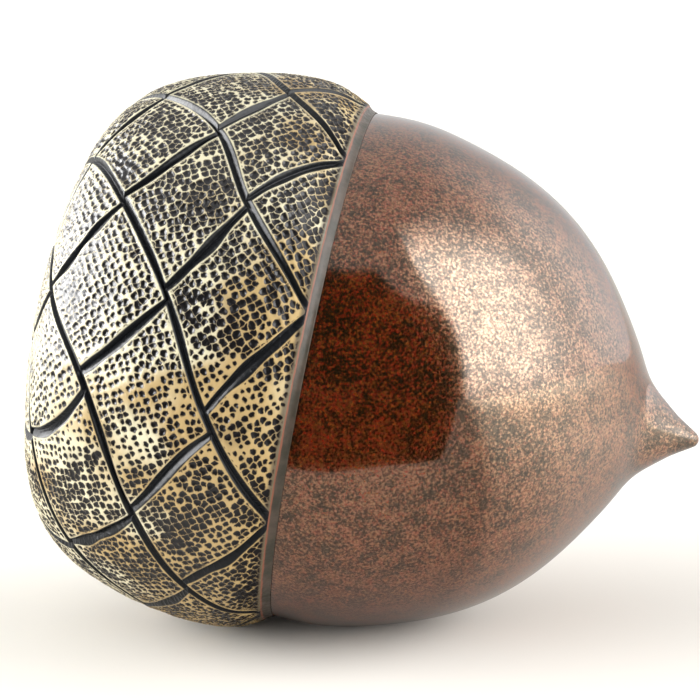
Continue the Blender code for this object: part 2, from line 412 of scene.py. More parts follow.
@dataclass
class CarvedCup:
    """The cup: a carved and pricked outside, a smooth sloping rim and the seat inside it."""

    pose: Pose
    outline: Outline
    seat: Outline
    lattice: GrooveLattice
    cut: GrooveCut = field(default_factory=GrooveCut)
    lines_across: int = 64
    lines_in_jog: int = 7
    usual_edge: float = 36.0
    close_lines: int = 7
    close_step: float = 0.32
    pad_level: float = -0.16
    pad_rounding: float = 0.5
    pad_rounding_reach: float = 2.2
    unevenness: float = 0.22
    corner_drop: float = 0.35
    lip: float = 3.2
    lip_out: float = 0.15
    rim_sag: float = 0.3
    rim_slope: float = 3.4
    seat_rings: int = 14
    seat_inset: float = 0.55
    ring_width: float = 1.3
    scar_steps: tuple[float, ...] = (0.6, 1.2, 2.0, 3.0, 5.0, 8.0, 12.0, 17.0, 22.0)

    def __post_init__(self) -> None:
        """Place the mesh lines."""
        self.lines = MeshLines(
            self.lines_across, self.lines_in_jog, self.usual_edge, self.close_lines, self.close_step
        )

    # A shared point has a key, one whole number made of its groove's family, row and index and
    # its own place along the groove. Points that only one patch has are given -1 instead.

    def _index(self, row: int, index: int) -> int:
        """Return a crossing's index brought back into the first round."""
        first = self.lattice.table[row][0]
        return (index - first) % self.lattice.lozenges + first

    def _key(self, family: int, row: int, index: int, sample: int) -> int:
        """Return one whole number for a shared point of a groove."""
        return (((family * 8 + row) * 16 + self._index(row, index)) * 128) + sample

    def _first_points(self, row: int, index: int) -> tuple[list[int], np.ndarray]:
        """Return the keys and places of a first-family groove, from arrival to arrival."""
        places = self.lattice.first_family(row, index, self.lines)
        keys = [self._key(1, row, index, k) for k in range(len(places))]
        if row > 0:
            keys[-1] = self._key(1, row - 1, index + row % 2, 0)
        return keys, places

    def _lower_edge(self, row: int, index: int) -> tuple[list[int], np.ndarray]:
        """Return the first-family edge that a lozenge on the upper side uses."""
        return self._first_points(row, index)

    def _upper_edge(self, row: int, index: int) -> tuple[list[int], np.ndarray]:
        """Return the first-family edge that a lozenge on the lower side uses."""
        keys, places = self._first_points(row, index)
        more_keys, more_places = self._first_points(row - 1, index + row % 2)
        jog = self.lines.in_jog
        return keys[jog:] + more_keys[1 : jog + 1], np.vstack([places[jog:], more_places[1 : jog + 1]])

    def _second_edge(self, row: int, index: int) -> tuple[list[int], np.ndarray]:
        """Return a second-family edge, from where it leaves to where it arrives."""
        places = self.lattice.second_family(row, index, self.lines)
        keys = [self._key(2, row, index, k) for k in range(len(places))]
        keys[0] = self._key(1, row, index, self.lines.in_jog)
        keys[-1] = self._key(1, row + 1, index + row % 2, 0)
        return keys, places

    @staticmethod
    def _fractions(lattice: GrooveLattice, places: np.ndarray) -> np.ndarray:
        """Return how far along its length each sample of an edge lies, from 0 to 1."""
        steps = np.linalg.norm(lattice.to_mm(places[1:], places[:-1]), axis=1)
        run = np.concatenate(([0.0], np.cumsum(steps)))
        return run / run[-1]

    def _fill(
        self, upper: np.ndarray, lower: np.ndarray, left: np.ndarray, right: np.ndarray
    ) -> tuple[np.ndarray, np.ndarray]:
        """Fill the inside of four edges.

        Args:
            upper: Samples of the first-family edge nearer the viewer's top.
            lower: Samples of the opposite first-family edge.
            left: Samples of the second-family edge where both of those start.
            right: Samples of the second-family edge where they end.

        Returns:
            The (n, n, 2) places, and the (n, n) share of the way from left to right.
        """
        v = self.lines.across[None, :, None]
        along_upper = self._fractions(self.lattice, upper)[:, None, None]
        along_lower = self._fractions(self.lattice, lower)[:, None, None]
        u = (1 - v) * along_upper + v * along_lower
        top = (1 - v) * upper[:, None] + v * lower[:, None]
        sides = (1 - u) * left[None] + u * right[None]
        corners = (1 - v) * ((1 - u) * upper[0] + u * upper[-1])
        corners += v * ((1 - u) * lower[0] + u * lower[-1])
        return top + sides - corners, u[..., 0]

    def _carve(
        self,
        places: np.ndarray,
        bounds: tuple[np.ndarray, np.ndarray, np.ndarray, np.ndarray],
    ) -> tuple[np.ndarray, np.ndarray]:
        """Cut the grooves along a lozenge's edges.

        Args:
            places: (n, n, 2) places.
            bounds: The upper, lower, left and right edges, as in _fill.

        Returns:
            Heights over the outline, and distances inside the pad's edge.
        """
        upper, lower, left, right = bounds
        v = np.broadcast_to(self.lines.across[None, :], places.shape[:2])
        lean = self.lattice.to_mm(upper[-1], upper[0])
        cross = self.lattice.to_mm(left[-1], left[0])
        sine = abs(lean[0] * cross[1] - lean[1] * cross[0])
        sine /= np.linalg.norm(lean) * np.linalg.norm(cross)

        def off(edge: np.ndarray) -> np.ndarray:
            """Return how far each place is from an edge, squarely."""
            return sine * np.linalg.norm(self.lattice.to_mm(places, edge), axis=-1)

        wobble = steady_noise(places * np.array([1.5, 1.0]), 14.0, 5)
        taper = self.cut.second_taper(v) * (1 + 0.16 * wobble)
        first = 1 + 0.2 * steady_noise(places * np.array([1.5, 1.0]), 19.0, 8)
        cuts = (
            (off(left[None]), self.cut.second_broad * taper, self.cut.second_depth(v)),
            (off(right[None]), self.cut.second_steep * taper, self.cut.second_depth(v)),
            (off(upper[:, None]), self.cut.first_steep * first, self.cut.depth),
            (off(lower[:, None]), self.cut.first_broad * first, self.cut.depth),
        )
        depth = np.zeros(places.shape[:2])
        inside = np.full(places.shape[:2], 50.0)
        for distance, width, deep in cuts:
            depth = np.maximum(depth, deep * self.cut.side(distance, width))
            inside = np.minimum(inside, distance - width)
        return depth, inside

    def _finish_patch(
        self, row: int, index: int, keys: np.ndarray, places: np.ndarray, depth: np.ndarray,
        inside: np.ndarray, keep: np.ndarray, middle: np.ndarray, heading: np.ndarray
    ) -> Patch:
        """Turn a carved grid into a patch.

        Args:
            row: The lozenge's row.
            index: Its place in the round.
            keys: (n, n) keys, negative where the point is the patch's own.
            places: (n, n, 2) places.
            depth: (n, n) groove depth.
            inside: (n, n) distance inside the pad's edge.
            keep: (n, n) which points the patch has.
            middle: The place its flat chart is centred on.
            heading: The chart's first direction, in millimetres.

        Returns:
            The patch.
        """
        arc = places[..., 1]
        run_out = np.clip(arc / self.cut.run_out, 0.0, 1.0)
        run_out = run_out * run_out * (3 - 2 * run_out)
        shoulder = self.pad_rounding * np.exp(-np.clip(inside, 0.0, None) / self.pad_rounding_reach)
        uneven = self.unevenness * steady_noise(
            turned(self.outline.at(arc), places[..., 0]), 26.0, 3
        )
        uneven = (uneven - self.unevenness) * np.clip(inside / 3.0, 0.0, 1.0)
        corner = self.corner_drop * np.exp(-arc / 0.5)
        heights = self.pad_level - run_out * (depth + shoulder) + uneven * run_out - corner
        flat = np.stack(
            (
                np.radians(places[..., 0] - middle[0]) * self.outline.radius(arc),
                arc - middle[1],
            ),
            axis=-1,
        )
        heading = heading / np.linalg.norm(heading)
        spin = np.array([[heading[0], heading[1]], [-heading[1], heading[0]]])
        shift = np.array([61.0 * row + 13.0, 57.0 * self._index(row, index) + 29.0])
        chart = flat @ spin.T + shift
        size = keys.shape[0]
        i, j = np.meshgrid(np.arange(size - 1), np.arange(size - 1), indexing="ij")
        corners = np.stack(
            (i * size + j, (i + 1) * size + j, (i + 1) * size + j + 1, i * size + j + 1), axis=-1
        ).reshape(-1, 4)
        held = keep.reshape(-1)[corners]
        whole = corners[held.all(axis=1)]
        partial = corners[held.sum(axis=1) == 3]
        triangles = [
            [int(c) for c in quad if keep.reshape(-1)[c]] + [-1] for quad in partial
        ]
        faces = np.vstack([whole, np.array(triangles, int).reshape(-1, 4)])
        return Patch(keys, places, heights, inside, chart, faces)

    def lozenge(self, row: int, index: int) -> Patch:
        """Return one whole lozenge."""
        lean = row % 2
        upper_keys, upper = self._upper_edge(row, index)
        lower_keys, lower = self._lower_edge(row + 1, index + lean)
        left_keys, left = self._second_edge(row, index)
        right_keys, right = self._second_edge(row - 1, index + lean)
        places, _ = self._fill(upper, lower, left, right)
        depth, inside = self._carve(places, (upper, lower, left, right))
        size = len(upper)
        keys = -np.ones((size, size), int)
        keys[:, 0], keys[:, -1] = upper_keys, lower_keys
        keys[0, :], keys[-1, :] = left_keys, right_keys
        middle = 0.25 * (upper[0] + upper[-1] + lower[0] + lower[-1])
        heading = self.lattice.to_mm(upper[-1], upper[0])
        keep = np.ones((size, size), bool)
        return self._finish_patch(row, index, keys, places, depth, inside, keep, middle, heading)

    def half_lozenge(self, row: int, index: int) -> Patch:
        """Return the half lozenge at the rim (row 0) or at the scar's ring (last row)."""
        at_rim = row == 0
        size = self.lines.count + 1
        keys = -np.ones((size, size), int)
        line = self.lines.across[:, None]
        if at_rim:
            left_keys, left = self._second_edge(0, index)
            lower_keys, lower = self._lower_edge(1, index)
            base_start, base_end = left[0], lower[-1]
            right = lower[-1] + (base_start - left[-1]) * (1 - line)
            upper = base_start + (lower - lower[0])
        else:
            upper_keys, upper = self._upper_edge(row, index)
            right_keys, right = self._second_edge(row - 1, index)
            base_start, base_end = upper[0], right[-1]
            left = base_start + (right - right[0])
            lower = left[-1] + (base_end - left[-1]) * self._fractions(self.lattice, upper)[:, None]
        places, _ = self._fill(upper, lower, left, right)
        number = np.arange(size)
        base = base_start + (base_end - base_start) * line
        i, j = np.meshgrid(number, number, indexing="ij")
        diagonal = 0.5 * (i + j)
        if at_rim:
            keep = i <= j
            reach = i * (size - 1 - j)
        else:
            keep = i >= j
            reach = (size - 1 - i) * j
        error = base - places[number, number]
        share = reach / np.maximum(diagonal * (size - 1 - diagonal), 1e-9)
        for axis in (0, 1):
            places[..., axis] += share * np.interp(diagonal, number, error[:, axis])
        places[number, number] = base
        keys[number, number] = [self._key(3, row, index, k) for k in number]
        far = 60.0 * np.ones((size, 2))
        if at_rim:
            keys[0, :], keys[:, -1] = left_keys, lower_keys
            bounds = (upper - far, lower, left, right + far)
            heading = self.lattice.to_mm(lower[-1], lower[0])
        else:
            keys[:, 0], keys[-1, :] = upper_keys, right_keys
            bounds = (upper, lower + far, left - far, right)
            heading = self.lattice.to_mm(upper[-1], upper[0])
        depth, inside = self._carve(places, bounds)
        if not at_rim:
            ring = self.lattice.table[row][1][0][1]
            distance = ring - places[..., 1]
            depth = np.maximum(depth, self.cut.depth * self.cut.side(distance, self.ring_width))
            inside = np.minimum(inside, distance - self.ring_width)
        middle = 0.5 * (base_start + base_end)
        return self._finish_patch(row, index, keys, places, depth, inside, keep, middle, heading)

    def zone_mesh(self, zone: Zone) -> bpy.types.Object:
        """Join a zone's patches into one mesh with its attributes.

        Args:
            zone: Which band of rows.

        Returns:
            The zone's object, in the frame.
        """
        patches = []
        for index in range(self.lattice.lozenges):
            for row in range(zone.first_row, zone.last_row + 1):
                whole = 0 < row < self.lattice.last
                patches.append(self.lozenge(row, index) if whole else self.half_lozenge(row, index))
        builder = SurfaceBuilder(self.pose, self.outline, self.lattice.turn_deg)
        for patch in patches:
            builder.add(patch)
        if zone is Zone.CLOSED_END:
            self._scar(builder)
        return builder.build(zone.label)

    def _ring_keys(self, row: int) -> tuple[list[int], np.ndarray]:
        """Return the keys and places round the rim or round the scar's ring."""
        keys, places = [], []
        for index in range(self.lattice.lozenges):
            here = self.lattice.crossing(row, index)
            after = self.lattice.crossing(row, index + 1)
            jog = self.lines.jog[:-1, None]
            keys += [self._key(1, row, index, k) for k in range(self.lines.in_jog)]
            places.append(here.arrive + (here.leave - here.arrive) * jog)
            line = self.lines.across[:-1, None]
            keys += [self._key(1, row, index, self.lines.in_jog)]
            keys += [self._key(3, row, index, k) for k in range(1, self.lines.count)]
            places.append(here.leave + (after.arrive - here.leave) * line)
        return keys, np.vstack(places)

    def _scar(self, builder: "SurfaceBuilder") -> None:
        """Fill the closed end inside its ring groove with a low, faintly ringed disc."""
        keys, ring = self._ring_keys(self.lattice.last)
        start = ring[0, 1]
        previous = [builder.find(key) for key in keys]
        for step in (*self.scar_steps, self.outline.length - start):
            arc = min(start + step, self.outline.length)
            rise = self.cut.depth * float(self.cut.side(np.array(step), 1.4))
            ripple = 0.18 * math.sin(step * 0.9) if step > 2.0 else 0.0
            height = self.pad_level - rise - self.corner_drop + ripple
            places = ring.copy()
            places[:, 1] = arc
            if arc >= self.outline.length:
                centre = builder.point(np.array([0.0, arc]), height, step - 1.4)
                builder.fan(previous, centre)
                break
            current = [builder.point(place, height, step - 1.4) for place in places]
            builder.band(previous, current)
            previous = current

    def rim(self) -> bpy.types.Object:
        """Return the smooth sloping rim with its rolled corner, and the seat behind it."""
        _, ring = self._ring_keys(0)
        degrees = ring[::4, 0]
        sunk = self.pad_level - self.corner_drop
        along, radius = self.outline.at(0.0) + sunk * self.outline.normal(0.0)
        mouth = float(np.interp(self.lip, self.seat.curve[:, 0], self.seat.arcs))
        lip_along, lip_radius = self.lip + self.lip_out, float(self.seat.radius(mouth)) + 0.2
        profile = [(along, radius, 0.0)]
        slope_steps = (0.04, 0.12, 0.25, 0.4, 0.55, 0.7, 0.82, 0.92, 1.0)
        for t in slope_steps:
            sag = self.rim_sag * math.sin(math.pi * t)
            profile.append(
                (
                    along + (lip_along - along) * t - sag * 0.75,
                    radius + (lip_radius - radius) * t - sag * 0.55,
                    t * self.rim_slope,
                )
            )
        for k in range(self.seat_rings):
            arc = mouth * (1.0 - (k + 0.12) / self.seat_rings)
            seat_along, seat_radius = self.seat.at(arc) + self.seat_inset * self.seat.normal(arc)
            profile.append((seat_along, seat_radius, 6.0 + k))
        rows = np.array(profile)
        grid = turned(rows[:, None, :2], (degrees + self.lattice.turn_deg)[None, :])
        wave = steady_noise(grid, 7.0, 12)[..., None]
        waviness = [0.0, 0.03, 0.06, 0.08, 0.09, 0.09, 0.08, 0.06, 0.03, 0.0]
        amount = np.array(waviness + [0.0] * self.seat_rings)
        grid[..., 1:] *= 1.0 + wave * amount[:, None, None] / 85.0
        pole = np.array([[self.seat.at(0.0)[0] - self.seat_inset, 0.0, 0.0]])
        count = len(degrees)
        points = np.vstack([grid.reshape(-1, 3), pole])
        faces = []
        for i in range(len(rows) - 1):
            for j in range(count):
                k = (j + 1) % count
                faces.append((i * count + j, (i + 1) * count + j, (i + 1) * count + k, i * count + k))
        last = (len(rows) - 1) * count
        faces += [(last + j, len(points) - 1, last + (j + 1) % count) for j in range(count)]
        mesh = bpy.data.meshes.new("cup_rim")
        mesh.from_pydata(self.pose.in_frame(points).tolist(), [], faces)
        down_slope = np.append(np.repeat(rows[:, 2], count), 20.0)
        store_floats(mesh, Attribute.RIM, down_slope)
        around = np.append(np.tile(np.radians(degrees) * 85.0, len(rows)), 0.0)
        store_uv(mesh, np.stack((around, down_slope), axis=1))
        return finished_object(mesh, "cup_rim", point_outward_from=None)


class SurfaceBuilder:
    """Collects carved patches and joins them where they share a groove's bottom."""

    def __init__(self, pose: Pose, outline: Outline, turn_deg: float) -> None:
        self.pose = pose
        self.outline = outline
        self.turn_deg = turn_deg
        self.shared: dict[int, int] = {}
        self.places: list[np.ndarray] = []
        self.heights: list[np.ndarray] = []
        self.edges: list[np.ndarray] = []
        self.faces: list[list[int]] = []
        self.uvs: list[np.ndarray | None] = []
        self.count = 0

    def _extend(self, places: np.ndarray, heights: np.ndarray, edges: np.ndarray) -> np.ndarray:
        """Add points and return their numbers."""
        self.places.append(places)
        self.heights.append(heights)
        self.edges.append(edges)
        numbers = np.arange(self.count, self.count + len(places))
        self.count += len(places)
        return numbers

    def add(self, patch: Patch) -> None:
        """Add a patch, joining the points that earlier patches have already placed."""
        keys = patch.keys.reshape(-1)
        used = np.zeros(len(keys), bool)
        used[patch.quads[patch.quads >= 0]] = True
        known = np.array([self.shared.get(int(k), -1) if k >= 0 else -1 for k in keys])
        fresh = used & (known < 0)
        numbers = np.full(len(keys), -1)
        numbers[fresh] = self._extend(
            patch.places.reshape(-1, 2)[fresh],
            patch.heights.reshape(-1)[fresh],
            patch.edges.reshape(-1)[fresh],
        )
        numbers = np.where(known >= 0, known, numbers)
        for key, number in zip(keys[fresh], numbers[fresh]):
            if key >= 0:
                self.shared[int(key)] = int(number)
        chart = patch.chart.reshape(-1, 2)
        for quad in patch.quads.tolist():
            corners = [c for c in quad if c >= 0]
            self.faces.append([int(numbers[c]) for c in corners])
            self.uvs.append(chart[corners])

    def find(self, key: int) -> int:
        """Return the number of a shared point."""
        return self.shared[key]

    def point(self, place: np.ndarray, height: float, edge: float) -> int:
        """Add one point and return its number."""
        return int(self._extend(place[None], np.array([height]), np.array([edge]))[0])

    def band(self, outer: list[int], inner: list[int]) -> None:
        """Join two rings of as many points."""
        for k in range(len(outer)):
            after = (k + 1) % len(outer)
            self._face([outer[k], outer[after], inner[after], inner[k]])

    def fan(self, ring: list[int], centre: int) -> None:
        """Close a ring to one point."""
        for k in range(len(ring)):
            self._face([ring[k], ring[(k + 1) % len(ring)], centre])

    def _face(self, corners: list[int]) -> None:
        """Add a face of the scar; its chart is taken in build, as seen along the axis."""
        self.faces.append(corners)
        self.uvs.append(None)

    def build(self, name: str) -> bpy.types.Object:
        """Return the joined surface as an object."""
        places = np.vstack(self.places)
        heights = np.concatenate(self.heights)
        arc = places[:, 1]
        profile = self.outline.at(arc) + heights[:, None] * self.outline.normal(arc)
        profile[:, 1] = np.maximum(profile[:, 1], 0.0)
        points = turned(profile, places[:, 0] + self.turn_deg)
        world = self.pose.in_frame(points)
        mesh = bpy.data.meshes.new(name)
        mesh.from_pydata(world.tolist(), [], self.faces)
        store_floats(mesh, Attribute.EDGE, np.concatenate(self.edges))
        store_floats(mesh, Attribute.RIM, arc)
        flat = points[:, 1:]
        corners = [
            uv if uv is not None else flat[face] for uv, face in zip(self.uvs, self.faces)
        ]
        store_corner_uv(mesh, np.vstack(corners))
        return finished_object(mesh, name, point_outward_from=self.pose)


def store_floats(mesh: bpy.types.Mesh, name: Attribute, values: np.ndarray) -> None:
    """Store one number at each point of a mesh."""
    layer = mesh.attributes.new(name.value, "FLOAT", "POINT")
    layer.data.foreach_set("value", values.astype(np.float32))


def store_corner_uv(mesh: bpy.types.Mesh, corners: np.ndarray) -> None:
    """Store the chart, in millimetres, at each corner of each face."""
    layer = mesh.uv_layers.new(name=Attribute.UV.value)
    layer.data.foreach_set("uv", corners.astype(np.float32).ravel())


def store_uv(mesh: bpy.types.Mesh, points: np.ndarray) -> None:
    """Store a chart that is given at the points of a mesh."""
    loops = np.zeros(len(mesh.loops), np.int32)
    mesh.loops.foreach_get("vertex_index", loops)
    store_corner_uv(mesh, points[loops])


def finished_object(
    mesh: bpy.types.Mesh, name: str, point_outward_from: Pose | None
) -> bpy.types.Object:
    """Link a mesh as an object, its faces pointing outwards and shaded smooth.

    Args:
        mesh: The mesh, in the frame.
        name: The object's name.
        point_outward_from: Where it is given, faces point away from the axis of this pose.

    Returns:
        The object, at the origin.
    """
    mesh.update()
    if point_outward_from is not None:
        normals = np.zeros(len(mesh.polygons) * 3, np.float32)
        centres = np.zeros(len(mesh.polygons) * 3, np.float32)
        mesh.polygons.foreach_get("normal", normals)
        mesh.polygons.foreach_get("center", centres)
        inside_cup = np.array([-30.0, 0.0, 0.0])
        middle = (np.array(point_outward_from.mouth_centre) + inside_cup) * MM
        outward = (normals.reshape(-1, 3) * (centres.reshape(-1, 3) - middle)).sum(axis=1)
        if (outward < 0).mean() > 0.5:
            mesh.flip_normals()
    mesh.shade_smooth()
    obj = bpy.data.objects.new(name, mesh)
    bpy.context.scene.collection.objects.link(obj)
    return obj


# The nut


@dataclass
class TurnedNut:
    """The nut: a smooth turned body with a small rounded tip."""

    pose: Pose
    outline: Outline
    rings: int = 230
    segments: int = 300
    tip_radius: float = 2.9
    tip_centre: float = 123.3
    tip_slope_deg: float = 36.0
    tip_steps: int = 12
    settle: float = 0.03

    def build(self) -> bpy.types.Object:
        """Return the nut as an object in the frame."""
        arcs = self.outline.length * (1.0 - (1.0 - np.arange(self.rings + 1) / self.rings) ** 1.15)
        body = self.outline.at(arcs) - self.settle * self.outline.normal(arcs)
        turns = np.radians(90.0 - self.tip_slope_deg) * (1 - np.arange(self.tip_steps) / self.tip_steps)
        radius = self.tip_radius - self.settle
        tip = np.stack((self.tip_centre + radius * np.cos(turns), radius * np.sin(turns)), axis=1)
        profile = self._softened(np.vstack([body[1:], tip]))
        degrees = np.arange(self.segments) * 360.0 / self.segments
        grid = turned(profile[:, None, :], degrees[None, :])
        ends = np.array([[body[0, 0], 0.0, 0.0], [self.tip_centre + radius, 0.0, 0.0]])
        points = np.vstack([grid.reshape(-1, 3), ends])
        world = self.pose.in_frame(points)
        world[:, 2] = np.maximum(world[:, 2], 0.0)
        rows, count = len(profile), self.segments
        faces = []
        for i in range(rows - 1):
            for j in range(count):
                k = (j + 1) % count
                faces.append((i * count + j, i * count + k, (i + 1) * count + k, (i + 1) * count + j))
        base, point = rows * count, rows * count + 1
        faces += [(base, (j + 1) % count, j) for j in range(count)]
        last = (rows - 1) * count
        faces += [(last + j, last + (j + 1) % count, point) for j in range(count)]
        mesh = bpy.data.meshes.new("nut_glazed")
        mesh.from_pydata(world.tolist(), [], faces)
        around = np.radians(np.tile(degrees, rows)) * 80.0
        chart = np.stack((np.append(around, [0.0, 0.0]), points[:, 0]), axis=1)
        store_uv(mesh, chart)
        return finished_object(mesh, "nut_glazed", point_outward_from=self.pose)

    @staticmethod
    def _softened(profile: np.ndarray) -> np.ndarray:
        """Ease the bend between the body and its tip, keeping both ends where they are."""
        eased = profile.copy()
        for _ in range(3):
            eased[-20:-1] = 0.5 * eased[-20:-1] + 0.25 * (eased[-21:-2] + eased[-19:])
        return eased


# Node trees


class NodeSketch:
    """Short ways to place nodes in a shader or geometry tree."""

    def __init__(self, tree: bpy.types.NodeTree) -> None:
        self.tree = tree
        self.column = 0

    def node(self, kind: str, **settings: object) -> bpy.types.Node:
        """Place a node, with its own settings."""
        made = self.tree.nodes.new(kind)
        made.location = (self.column * 190, -(self.column % 5) * 160)
        self.column += 1
        for name, value in settings.items():
            setattr(made, name, value)
        return made

    def feed(self, socket: Socket, value: object) -> None:
        """Join a socket to another, or set its constant."""
        if isinstance(value, bpy.types.NodeSocket):
            self.tree.links.new(value, socket)
        elif value is not None:
            socket.default_value = value

    def math(self, operation: str, first: object, second: object = None) -> Socket:
        """Return a Math node's result."""
        made = self.node("ShaderNodeMath", operation=operation)
        self.feed(made.inputs[0], first)
        self.feed(made.inputs[1], second)
        return made.outputs[0]

    def product(self, first: object, *others: object) -> Socket:
        """Return the product of some numbers."""
        for other in others:
            first = self.math("MULTIPLY", first, other)
        return first

    def total(self, first: object, *others: object) -> Socket:
        """Return the sum of some numbers."""
        for other in others:
            first = self.math("ADD", first, other)
        return first

    def centred(self, noise: Socket, amount: float) -> Socket:
        """Return a noise value moved to lie about zero, times an amount."""
        return self.math("MULTIPLY", self.math("SUBTRACT", noise, 0.5), amount)

    def eased_least(self, first: object, second: object, reach: float) -> Socket:
        """Return the lesser of two numbers, eased where they cross."""
        least = self.math("SMOOTH_MIN", first, second)
        least.node.inputs[2].default_value = reach
        return least

    def vector(self, operation: str, first: object, second: object = None) -> Socket:
        """Return a Vector Math node's vector."""
        made = self.node("ShaderNodeVectorMath", operation=operation)
        self.feed(made.inputs[0], first)
        if operation == "SCALE":
            self.feed(made.inputs["Scale"], second)
        else:
            self.feed(made.inputs[1], second)
        return made.outputs[0]

    def dot(self, first: object, second: object) -> Socket:
        """Return the dot product of two vectors."""
        made = self.node("ShaderNodeVectorMath", operation="DOT_PRODUCT")
        self.feed(made.inputs[0], first)
        self.feed(made.inputs[1], second)
        return made.outputs["Value"]

    def spread(
        self, value: object, low: object, high: object, start: object = 0.0, end: object = 1.0
    ) -> Socket:
        """Return value carried smoothly from low..high to start..end."""
        made = self.node("ShaderNodeMapRange", interpolation_type="SMOOTHSTEP")
        for name, given in zip(
            ("Value", "From Min", "From Max", "To Min", "To Max"), (value, low, high, start, end)
        ):
            self.feed(made.inputs[name], given)
        return made.outputs[0]

    def noise(
        self,
        place: object,
        scale: float,
        detail: float = 2.0,
        flat: bool = False,
        roughness: float = 0.5,
    ) -> Socket:
        """Return a noise value of about 0.3 to 0.7."""
        made = self.node("ShaderNodeTexNoise", noise_dimensions="2D" if flat else "3D")
        self.feed(made.inputs["Vector"], place)
        made.inputs["Scale"].default_value = scale
        made.inputs["Detail"].default_value = detail
        made.inputs["Roughness"].default_value = roughness
        return made.outputs[0]

    def blend(self, share: object, first: object, second: object) -> Socket:
        """Return a colour between two."""
        made = self.node("ShaderNodeMix", data_type="RGBA")
        self.feed(made.inputs["Factor"], share)
        self.feed(made.inputs[6], first)
        self.feed(made.inputs[7], second)
        return made.outputs[2]

    def between(self, share: object, first: object, second: object) -> Socket:
        """Return a number between two."""
        made = self.node("ShaderNodeMix", data_type="FLOAT")
        self.feed(made.inputs["Factor"], share)
        self.feed(made.inputs[2], first)
        self.feed(made.inputs[3], second)
        return made.outputs[0]


@dataclass(frozen=True)
class PitPattern:
    """Pricked pits: one in each cell of a loose grid, some of them run together."""

    pitch: float = 2.5
    looseness: float = 0.6
    size: float = 0.54
    size_spread: float = 0.18
    patch_size: float = 13.0
    patch_spread: float = 0.34
    ridge: float = 0.035
    ridge_spread: float = 0.2
    crown_size: float = 0.07
    waist_size: float = -0.16
    # Larger pits near the floor are real hollows that also darken the cup's lower edge as painted shade.
    foot_shade_size: float = 0.20
    crown_heights: tuple[float, float] = (0.125, 0.150)
    waist_heights: tuple[float, float] = (0.120, 0.095)
    foot_shade_heights: tuple[float, float] = (0.078, 0.055)
    warp: float = 1.1
    rounding: float = 0.3
    raggedness: float = 0.9
    margin: tuple[float, float] = (0.25, 1.0)
    rim_margin: tuple[float, float] = (0.3, 1.1)

    def draw(
        self, sketch: NodeSketch, chart: Socket, edge: Socket, rim: Socket, place: Socket
    ) -> tuple[Socket, Socket]:
        """Place the pattern's nodes in a tree.

        Args:
            sketch: Where to place them.
            chart: The flat chart, in millimetres.
            edge: The distance inside the pad's edge.
            rim: The distance from the cup's rim.
            place: The position in the frame, in metres.

        Returns:
            How far inside its pit each place is, in cells, and how much pits may show there.
        """
        drift = sketch.noise(chart, 0.5, 1.0, flat=True).node.outputs["Color"]
        moved = sketch.vector("SUBTRACT", drift, (0.5, 0.5, 0.5))
        moved = sketch.vector("SCALE", moved, self.warp)
        warped = sketch.vector("ADD", chart, moved)
        cells = self._cells(sketch, warped, "F1")
        chance = sketch.dot(cells.outputs["Color"], (1.0, 0.0, 0.0))
        grown = sketch.noise(chart, 1.0 / self.patch_size, 2.0, flat=True)
        height = sketch.dot(place, (0.0, 0.0, 1.0))
        radius = sketch.total(
            sketch.spread(height, *self.waist_heights, self.size, self.size + self.waist_size),
            sketch.spread(height, *self.crown_heights, 0.0, self.crown_size),
            # Painted shade: the pits grow near the floor, darkening the cup's lower edge.
            sketch.spread(height, *self.foot_shade_heights, 0.0, self.foot_shade_size),
            sketch.centred(grown, self.patch_spread * 2),
            sketch.centred(chance, self.size_spread),
        )
        inside = sketch.math("SUBTRACT", radius, cells.outputs["Distance"])
        walls = self._cells(sketch, warped, "DISTANCE_TO_EDGE")
        broken = sketch.noise(chart, 0.27, 1.0, flat=True)
        ridge = sketch.total(sketch.centred(broken, self.ridge_spread), self.ridge)
        room = sketch.math("SUBTRACT", walls.outputs["Distance"], ridge)
        inside = sketch.eased_least(inside, room, self.rounding)
        ragged = sketch.noise(chart, 0.8, 1.0, flat=True)
        edge = sketch.total(edge, sketch.centred(ragged, self.raggedness))
        off_groove = sketch.spread(edge, *self.margin)
        off_rim = sketch.spread(rim, *self.rim_margin)
        return inside, sketch.product(off_groove, off_rim)

    def _cells(self, sketch: NodeSketch, place: Socket, feature: str) -> bpy.types.Node:
        """Return a Voronoi node with the pattern's cells."""
        cells = sketch.node("ShaderNodeTexVoronoi", voronoi_dimensions="2D", feature=feature)
        sketch.feed(cells.inputs["Vector"], place)
        cells.inputs["Scale"].default_value = 1.0 / self.pitch
        cells.inputs["Randomness"].default_value = self.looseness
        return cells


